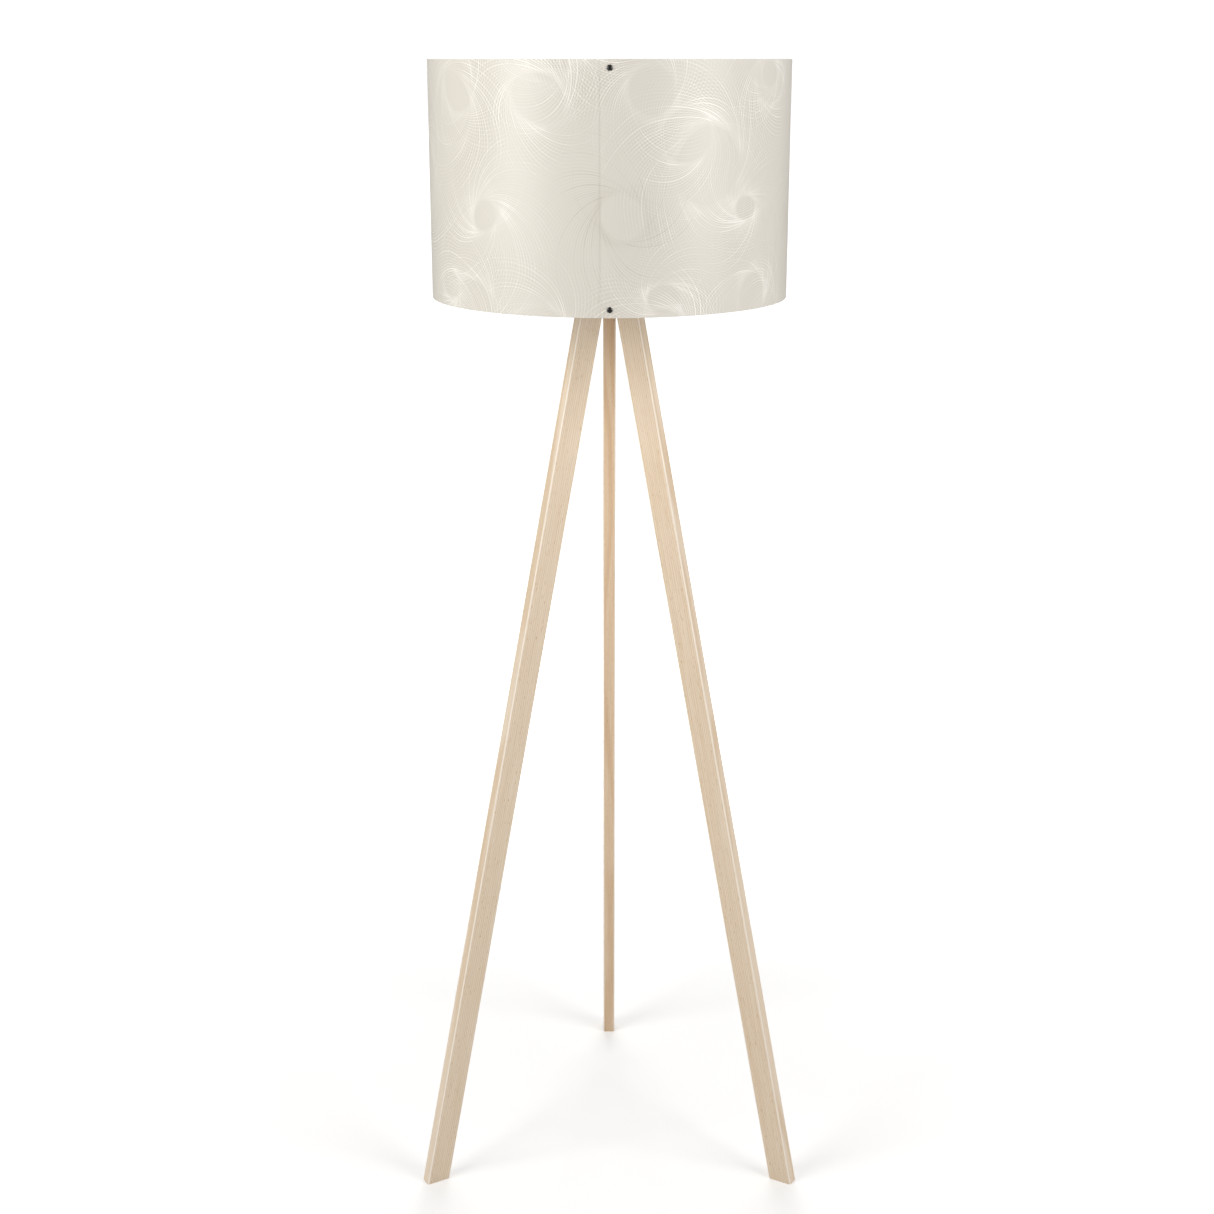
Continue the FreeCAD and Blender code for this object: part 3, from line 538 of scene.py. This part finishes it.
METAL = {"Metallic": 1.0}
SMALL_FINISHES = {
    # Polyester powder coat, baked on: a fine orange peel and a dull black sheen.
    "hub_steel": ("powder_coated_steel", ("#1B1B1D", "#28282A"), (0.9, 0.9, 0.9), (0.42, 0.58), 0.05,
                  {"IOR": 1.52}),
    # Bright zinc plate on rolled steel: a cool grey metal with a soft, slightly cloudy shine.
    "zinc_steel": ("zinc_plated_steel", ("#D3D6D8", "#BEC1C4"), (1.6, 1.6, 1.6), (0.22, 0.38), 0.012, METAL),
    # Natural nylon 6, punched from sheet: waxy, milky and half matt.
    "nylon": ("natural_nylon", ("#EFEBDF", "#E6E1D2"), (0.8, 0.8, 0.8), (0.42, 0.55), 0.02, {"IOR": 1.53}),
    # Glass-filled polybutylene, moulded in a spark-eroded tool: a satin black with a fine sandy grain.
    "holder_black": ("moulded_black_polyester", ("#1A1A1B", "#232324"), (0.6, 0.6, 0.6), (0.34, 0.46), 0.03,
                     {"IOR": 1.57}),
    # Steatite, pressed and fired without a glaze: chalky white and dead matt, with a few grey specks.
    "core_ceramic": ("fired_steatite", ("#EFEAE0", "#DCD6CA"), (0.5, 0.5, 0.5), (0.7, 0.85), 0.04,
                     {"IOR": 1.6}),
    # Rolled brass: warm yellow, with the fine lines of rolling round the sleeve.
    "brass_shell": ("rolled_brass", ("#E3C583", "#CDAA62"), (60, 60, 0.35), (0.2, 0.34), 0.015, METAL),
    # Phosphor bronze strip: redder than brass, with rolling lines along it.
    "contact_bronze": ("phosphor_bronze_strip", ("#D9AE7E", "#C2925F"), (12, 0.4, 12), (0.25, 0.4), 0.01,
                       METAL),
    # White powder coat on steel wire: smooth, with a soft gloss that rounds the wire off.
    "white_wire": ("powder_coated_wire", ("#EDEDEA", "#E2E2DE"), (1.1, 1.1, 1.1), (0.34, 0.46), 0.03,
                   {"IOR": 1.52}),
    # Black nylon, moulded in a polished tool: a soft wet-looking gloss.
    "rivet_black": ("moulded_black_nylon", ("#131314", "#1C1C1E"), (0.7, 0.7, 0.7), (0.2, 0.3), 0.01,
                    {"IOR": 1.53}),
    # Opal polycarbonate, blown: milky right through, with a satin skin.
    "opal": ("opal_polycarbonate", ("#F8F8F5", "#F1F1ED"), (0.9, 0.9, 0.9), (0.3, 0.4), 0.008,
             {"IOR": 1.58, "Subsurface Weight": 0.25, "Subsurface Scale": 0.01,
              "Subsurface Radius": (1, 1, 1)}),
    # White polybutylene, moulded: bright and satin.
    "bulb_white": ("moulded_white_polyester", ("#F3F3F0", "#EAEAE6"), (0.7, 0.7, 0.7), (0.4, 0.52), 0.015,
                   {"IOR": 1.57}),
    # Nickel plate on spun aluminium: a bright, faintly warm metal with lines round the cap.
    "bulb_nickel": ("nickel_plated_aluminium", ("#DEDBD3", "#CBC7BE"), (60, 60, 0.3), (0.16, 0.28), 0.008,
                    METAL),
    # Vitrified black glass, poured hot: deep, smooth and glossy.
    "bulb_glass_black": ("vitrified_black_glass", ("#17121C", "#241C2B"), (2.5, 2.5, 2.5), (0.08, 0.16), 0.02,
                         {"IOR": 1.52}),
}
finishes = {slot: grained(*recipe) for slot, recipe in SMALL_FINISHES.items()}
print("grained finishes", len(finishes))

# %% [markdown]
# ## The circuit boards inside the bulb
#
# The LED board is white with nine yellow chips, and the driver board is green with a dark capacitor and a
# copper coil. Each board is one part, so its finish changes with the place on it: the chips stand above
# the white board's face, and the driver's parts stand on either side of its board.

# %% Boards


def board_finish(name, tones, parts):
    """A solder-masked board. Each entry of parts is an axis, a place, a side and the hex colour beyond it."""
    material, tree, place = start_finish(name)
    split = add(tree, "ShaderNodeSeparateXYZ", None, {"Vector": place})
    weave_place = add(tree, "ShaderNodeMapping", {"Scale": grains_of(0.8, 0.8, 0.8)}, {"Vector": place})
    weave = add(tree, "ShaderNodeTexNoise", {"Scale": 1.0, "Detail": 2.0}, {"Vector": weave_place})
    colour = add(tree, "ShaderNodeMix", {"data_type": "RGBA", 6: linear(tones[0]), 7: linear(tones[1])},
                 {0: weave})
    for axis, at, side, hex_colour in parts:
        beyond = add(tree, "ShaderNodeMath", {"operation": side, 1: at}, {0: split.outputs[axis]})
        colour = add(tree, "ShaderNodeMix", {"data_type": "RGBA", 7: linear(hex_colour)},
                     {0: beyond, 6: colour.outputs[2]})
    relief = add(tree, "ShaderNodeBump", {"Distance": 0.03 * MM}, {"Height": weave})
    rough = add(tree, "ShaderNodeMapRange", {"To Min": 0.3, "To Max": 0.5}, {"Value": weave})
    # Epoxy solder mask has an IOR of 1.55 and a soft gloss over the glass weave.
    close_finish(tree, {"IOR": 1.55}, {"Base Color": colour.outputs[2], "Roughness": rough, "Normal": relief})
    return material


CHIP_H = 0.8 * MM
DRIVER_BOARD_FACE = 0.65 * MM
board_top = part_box("bulb_board")[1].z - CHIP_H
finishes["board_white"] = board_finish("white_solder_mask", ("#F4F4F1", "#E9E9E5"),
                                       [(2, board_top + 0.1 * MM, "GREATER_THAN", "#E6C23A")])
finishes["board_green"] = board_finish("green_solder_mask", ("#1F5A33", "#19492A"),
                                       [(1, -DRIVER_BOARD_FACE, "LESS_THAN", "#20232C"),
                                        (1, DRIVER_BOARD_FACE, "GREATER_THAN", "#B4703C")])
print("finishes with the boards", len(finishes))

# %% [markdown]
# ## Putting the finishes on
#
# Every part of the frame comes with a named slot, which says what it is made of. The finish of that slot
# takes its place. The legs and the film already have finishes of their own.

# %% Fill the slots
for name, node in NODES.items():
    slot = node.data.materials[0].name
    FINISH_OF_NODE.setdefault(name, finishes.get(slot))
    node.data.materials[0] = FINISH_OF_NODE[name]
print("finished nodes", len(FINISH_OF_NODE))

# %% [markdown]
# ## Parts with a screw thread
#
# The frame's threaded parts are plain turned shapes, since only their size matters to the design. A real
# thread climbs as it goes round, so a turned mesh is not enough: each point of the outline also moves in
# and out with a wave that depends on its height and on its angle. At the thread's two ends the wave dies
# away.

# %% Thread helper


def threaded(name, outline, finish, pitch, depth, steps=120):
    """A turned shape. Points marked True in the outline carry a right-hand thread of this pitch and depth."""
    marked = [z for r, z, mark in outline if mark]
    low, high = min(marked), max(marked)
    vertices = []
    for k in range(steps):
        angle = 2 * math.pi * k / steps
        for r, z, mark in outline:
            if mark:
                fade = min(1.0, (z - low) / pitch, (high - z) / pitch)
                r += depth / 2 * fade * math.cos(2 * math.pi * z / pitch - angle)
            vertices.append((r * math.cos(angle), r * math.sin(angle), z))
    n = len(outline)
    faces = []
    for k in range(steps):
        following = (k + 1) % steps
        faces += [(k * n + i, following * n + i, following * n + (i + 1) % n, k * n + (i + 1) % n)
                  for i in range(n)]
    return mesh_object(name, vertices, faces, finish)


def plain(*points):
    """Outline points without a thread, from their radii and heights."""
    return [(r, z, False) for r, z in points]


def wall(r, start, end, step):
    """Marked outline points up or down a threaded wall."""
    count = max(2, round(abs(end - start) / step))
    return [(r, start + (end - start) * k / count, True) for k in range(count + 1)]


# %% [markdown]
# ## The hollow rod
#
# An M10 tube with a 1 mm pitch holds the lamp holder, the plate and the brackets together, and the cord
# would run up inside it. It is steel with a rolled thread from end to end.

# %% Hollow rod
low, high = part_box("hollow_rod")
ROD_R, ROD_BORE_R, ROD_PITCH, ROD_THREAD = 5.0 * MM, 4.0 * MM, 1.0 * MM, 0.6 * MM
CHAMFER = 0.6 * MM
outline = plain((ROD_BORE_R, low.z), (ROD_R - CHAMFER, low.z))
outline += wall(ROD_R - ROD_THREAD / 2, low.z + CHAMFER, high.z - CHAMFER, ROD_PITCH / 6)
outline += plain((ROD_R - CHAMFER, high.z), (ROD_BORE_R, high.z))
rod = threaded("threaded_rod", outline, finishes["zinc_steel"], ROD_PITCH, ROD_THREAD, 72)
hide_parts("hollow_rod")
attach(rod, "head")
print("rod faces", len(rod.data.polygons))

# %% [markdown]
# ## The holder's shell
#
# The black shell has a coarse moulded thread on its wall, for the ring nut that clamps the shade. Below it
# is the seat flange for the shade's carrier, and above it a plain lip round the bulb's cap.

# %% Holder shell
low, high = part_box("holder_shell")
FLANGE_R, FLANGE_T = high.x, 2.0 * MM
WALL_R, INSIDE_R, MOUTH_R = 19.7 * MM, 17.6 * MM, 14.6 * MM
SHELL_PITCH, SHELL_THREAD = 2.0 * MM, 0.8 * MM
EDGE = 0.5 * MM
THREAD_ENDS_BELOW = 6 * MM
LIP_T = 3 * MM
# The lip's rounded outside: how far each point stands in from the wall and below the top, in mm.
LIP_MM = [(0.8, 5.5), (0.8, 1.5), (1.1, 0.7), (1.6, 0.2), (2.3, 0.0)]
seat, top = low.z, high.z
outline = plain((INSIDE_R, seat), (FLANGE_R - EDGE, seat), (FLANGE_R, seat + EDGE),
                (FLANGE_R, seat + FLANGE_T - EDGE), (FLANGE_R - EDGE, seat + FLANGE_T),
                (WALL_R, seat + FLANGE_T))
outline += wall(WALL_R - SHELL_THREAD / 2, seat + FLANGE_T + EDGE, top - THREAD_ENDS_BELOW, SHELL_PITCH / 8)
outline += plain(*[(WALL_R - inwards * MM, top - down * MM) for inwards, down in LIP_MM])
outline += plain((MOUTH_R + EDGE, top), (MOUTH_R, top - EDGE), (MOUTH_R, top - LIP_T),
                 (INSIDE_R, top - LIP_T))
shell = threaded("threaded_holder_shell", outline, finishes["holder_black"], SHELL_PITCH, SHELL_THREAD, 144)
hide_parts("holder_shell")
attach(shell, "head")
print("shell faces", len(shell.data.polygons))

# %% [markdown]
# ## The brass sleeve and the bulb's cap
#
# The round-topped E27 thread is rolled into thin metal, so it shows on both faces of the sheet. Its pitch
# is 3.62 mm. The sleeve's thread stays just clear of the cap's.

# %% Sleeve and cap
E27_PITCH = 3.62 * MM
STEP = E27_PITCH / 14
SLEEVE_R, SLEEVE_T, SLEEVE_THREAD = 13.6 * MM, 0.4 * MM, 0.35 * MM
COLLAR_H, COLLAR_T = 1.6 * MM, 0.8 * MM
low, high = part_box("screw_shell")
sleeve_r = SLEEVE_R - SLEEVE_THREAD / 2
neck = high.z - COLLAR_H
outline = wall(sleeve_r, neck, low.z, STEP) + wall(sleeve_r + SLEEVE_T, low.z, neck, STEP)
# At its mouth, just under the shell's lip, the sleeve is rolled outwards.
outline += plain((sleeve_r + SLEEVE_T + 0.3 * MM, high.z - COLLAR_T), (high.x, high.z - 0.6 * MM),
                 (high.x, high.z), (high.x - 0.8 * MM, high.z), (sleeve_r + 0.3 * MM, high.z - 0.9 * MM))
sleeve = threaded("rolled_screw_sleeve", outline, finishes["brass_shell"], E27_PITCH, SLEEVE_THREAD, 120)
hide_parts("screw_shell")
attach(sleeve, "head")
print("sleeve faces", len(sleeve.data.polygons))

CAP_T, CAP_THREAD = 0.4 * MM, 0.75 * MM
# Heights above the bulb's tip: the cap's lowest point, and the start and the end of its thread.
CAP_ABOVE_TIP, THREAD_FROM, THREAD_TO = 4.4 * MM, 6.6 * MM, 21.9 * MM
# The cap's drawn-in end, from outside to inside and back: radius and height above the tip, in mm.
DRAWN_END_MM = [(10.4, 5.6), (8.6, 4.9), (8.6, 4.4), (10.6, 5.2)]
RIM_R, RIM_H = 12.9 * MM, 3.0 * MM
RIM_INSIDE_R, RIM_INSIDE_H = 12.4 * MM, 3.4 * MM
low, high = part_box("bulb_cap")
tip = low.z - CAP_ABOVE_TIP
cap_r = high.x - CAP_THREAD / 2
outline = wall(cap_r - CAP_T, tip + THREAD_TO, tip + THREAD_FROM, STEP)
outline += plain(*[(r * MM, tip + rise * MM) for r, rise in DRAWN_END_MM])
outline += wall(cap_r, tip + THREAD_FROM, tip + THREAD_TO, STEP)
outline += plain((RIM_R, high.z - RIM_H), (RIM_R, high.z), (RIM_INSIDE_R, high.z),
                 (RIM_INSIDE_R, high.z - RIM_INSIDE_H))
cap = threaded("rolled_bulb_cap", outline, finishes["bulb_nickel"], E27_PITCH, CAP_THREAD, 120)
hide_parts("bulb_cap")
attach(cap, "bulb")
print("cap faces", len(cap.data.polygons))

# %% [markdown]
# ## Weld beads on the wire carrier
#
# The three spokes are resistance-welded to the rim wire and to the centre ring. Each weld squeezes out a
# small rounded bead, which the powder coat covers. A bead is a low lump with an uneven outline, so each
# one is a subdivided ball, flattened and pushed about by two waves.

# %% Weld beads
SPOKE_AZIMUTHS = [math.radians(a) for a in (90, 210, 330)]
RIM_WIRE_R, WIRE_R = 221.5 * MM, 2.0 * MM
BEAD_R = 2.7 * MM
# A bead is a little longer than it is wide, and lower than it is wide.
BEAD_LONG, BEAD_LOW = 1.25, 0.85
carrier_low, carrier_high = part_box("shade_carrier")
# Radius and height of the beads' middles: just inside the rim wire, and just outside the ring nut.
BEAD_MIDDLES = [(RIM_WIRE_R - 1.9 * MM, carrier_low.z + WIRE_R + 1.2 * MM),
                (31.2 * MM, carrier_high.z - 2.0 * MM)]


def weld_beads(turns=20, rises=10):
    """Six lumpy beads in one mesh, two on each spoke."""
    vertices, faces = [], []
    for r, z, azimuth in [(*middle, azimuth) for middle in BEAD_MIDDLES for azimuth in SPOKE_AZIMUTHS]:
        start = len(vertices)
        centre = Vector((math.cos(azimuth), math.sin(azimuth), 0)) * r + Vector((0, 0, z))
        for j in range(1, rises):
            polar = math.pi * j / rises
            for k in range(turns):
                turn = 2 * math.pi * k / turns
                # Two waves of different lengths make each bead's outline uneven in its own way.
                lump = BEAD_R * (1 + 0.09 * math.sin(3 * turn + z * 4000) + 0.05 * math.sin(5 * turn + j))
                point = Vector((math.sin(polar) * math.cos(turn) * BEAD_LONG,
                                math.sin(polar) * math.sin(turn), math.cos(polar) * BEAD_LOW)) * lump
                vertices.append(centre + Matrix.Rotation(azimuth, 3, "Z") @ point)
        pole = Vector((0, 0, BEAD_R * BEAD_LOW))
        vertices += [centre + pole, centre - pole]
        for j in range(rises - 2):
            for k in range(turns):
                a, b = start + j * turns + k, start + j * turns + (k + 1) % turns
                faces.append((a, a + turns, b + turns, b))
        last = start + (rises - 2) * turns
        for k in range(turns):
            faces.append((start + k, start + (k + 1) % turns, len(vertices) - 2))
            faces.append((last + (k + 1) % turns, last + k, len(vertices) - 1))
    return mesh_object("carrier_weld_beads", vertices, faces, finishes["white_wire"])


beads = weld_beads()
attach(beads, "shade")
print("weld beads", len(BEAD_MIDDLES) * len(SPOKE_AZIMUTHS))

# %% [markdown]
# ## White floor
#
# The lamp stands on a plain white floor that runs into a white background. A paper sweep would need a
# curve behind the lamp, which shows from the side. A flat floor that fades to white far from the lamp
# looks the same from everywhere.

# %% Floor
FLOOR_HALF = 60.0
NEAR_GLOW, FAR_GLOW = 0.32, 1.05
GLOW_RISES_FROM, GLOW_RISES_TO = 0.3, 2.2


def studio_floor():
    """A white floor with a trace of cloudiness, so wide that its edge is never seen."""
    material, tree, place = start_finish("white_studio_floor")
    cloud = add(tree, "ShaderNodeTexNoise", {"Scale": 3.0, "Detail": 2.0}, {"Vector": place})
    colour = add(tree, "ShaderNodeMix", {"data_type": "RGBA", 6: linear("#CBCBCB"), 7: linear("#CFCFCF")},
                 {0: cloud})
    # The floor glows a little, and more so far from the lamp, so that it fades into the white background.
    # Only the picture sees the glow: it lights nothing.
    away = add(tree, "ShaderNodeVectorMath", {"operation": "LENGTH"}, {0: place}).outputs["Value"]
    spread = add(tree, "ShaderNodeMapRange",
                 {"From Min": GLOW_RISES_FROM, "From Max": GLOW_RISES_TO, "To Min": NEAR_GLOW,
                  "To Max": FAR_GLOW, "interpolation_type": "SMOOTHSTEP"}, {"Value": away})
    seen = add(tree, "ShaderNodeLightPath").outputs["Is Camera Ray"]
    glow = add(tree, "ShaderNodeMath", {"operation": "MULTIPLY"}, {0: spread, 1: seen})
    close_finish(tree, {"Roughness": 0.9, "IOR": 1.3, "Emission Color": linear("#FFFFFF")},
                 {"Base Color": colour.outputs[2], "Emission Strength": glow})
    half = FLOOR_HALF
    corners = [(-half, -half, 0.0), (half, -half, 0.0), (half, half, 0.0), (-half, half, 0.0)]
    return mesh_object("studio_floor", corners, [(0, 1, 2, 3)], material)


studio_floor()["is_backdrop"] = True
print("floor width in m", 2 * FLOOR_HALF)

# %% [markdown]
# ## Soft boxes
#
# Two large soft boxes stand to the left and right of the camera. The drum mirrors each of them as one
# bright upright band and stays darker between the bands and at its edges. The light falls off towards the
# floor, so the legs are darker at their feet. Three more boxes, behind and overhead, keep the back of the
# lamp and the inside of its shade from going grey.

# %% Lights
AIM = Vector((0.0, 0.0, 1.15))
# Name, azimuth in degrees, distance and height from the lamp's foot, the box's own width and height,
# watts and colour. Lengths are in metres.
SOFT_BOXES = [
    ("left_soft_box", 215, 2.0, 1.72, 1.2, 1.5, 34, "#FFFDF8"),
    ("right_soft_box", 326, 2.0, 1.72, 1.15, 1.5, 30, "#FFFDFA"),
    ("back_soft_box", 90, 2.4, 3.4, 2.6, 1.2, 42, "#FFFFFF"),
    ("overhead_soft_box", 90, 0.3, 3.6, 1.6, 1.6, 16, "#FFFFFF"),
    ("low_back_soft_box", 90, 2.6, 1.5, 1.0, 1.2, 20, "#FFFFFF"),
]


def soft_box(name, azimuth, distance, height, width, tall, watts, hex_colour):
    """An area light that faces the lamp's head from this azimuth and doesn't show itself."""
    light = bpy.data.lights.new(name, "AREA")
    light.shape = "RECTANGLE"
    light.size, light.size_y, light.energy = width, tall, watts
    light.color = linear(hex_colour)[:3]
    lamp = bpy.data.objects.new(name, light)
    bpy.context.scene.collection.objects.link(lamp)
    turn = math.radians(azimuth)
    lamp.location = (distance * math.cos(turn), distance * math.sin(turn), height)
    lamp.rotation_euler = (AIM - lamp.location).to_track_quat("-Z", "Y").to_euler()
    lamp.visible_camera = False


for box in SOFT_BOXES:
    soft_box(*box)
print("soft boxes", len(SOFT_BOXES))

# %% [markdown]
# ## White room
#
# A white room would light the lamp from all sides and wash out the bands on the drum. So the room gives
# little light of its own, but the camera sees its walls as white.

# %% White room
ROOM_LIGHT, WALLS_SEEN = 0.24, 1.05
world = bpy.data.worlds.new("white_room")
bpy.context.scene.world = world
world.use_nodes = True
world.node_tree.nodes.clear()
seen = add(world.node_tree, "ShaderNodeLightPath")
strength = add(world.node_tree, "ShaderNodeMapRange", {"To Min": ROOM_LIGHT, "To Max": WALLS_SEEN},
               {"Value": seen.outputs["Is Camera Ray"]})
backdrop = add(world.node_tree, "ShaderNodeBackground", {"Color": linear("#FFFFFF")}, {"Strength": strength})
add(world.node_tree, "ShaderNodeOutputWorld", None, {"Surface": backdrop})
print("room light", ROOM_LIGHT)

# %% [markdown]
# ## Camera
#
# The camera stands in front of the lamp, level with the top of the shade, and looks down enough to take in
# the feet.

# %% Camera
LENS_MM, SENSOR_MM = 54.39, 36.0
CAMERA_PLACE = (-0.0031, -2.3536, 1.490)
LOOKS_DOWN_DEG = 15.57
LENS_SHIFT = -0.0305
camera_data = bpy.data.cameras.new("camera")
camera_data.lens = LENS_MM
camera_data.sensor_width = SENSOR_MM
camera_data.shift_y = LENS_SHIFT
camera = bpy.data.objects.new("camera", camera_data)
bpy.context.scene.collection.objects.link(camera)
camera.location = CAMERA_PLACE
camera.rotation_euler = (math.radians(90 - LOOKS_DOWN_DEG), 0, 0)
bpy.context.scene.camera = camera
bpy.context.scene.view_settings.view_transform = "Standard"
print("camera height in m", round(camera.location.z, 3))

# %% [markdown]
# ## The visual box
#
# The box round everything that is shown is printed, in metres.

# %% Print the visual box
low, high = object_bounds()
print("visual box in m", [round(v, 4) for v in (*low, *high)])
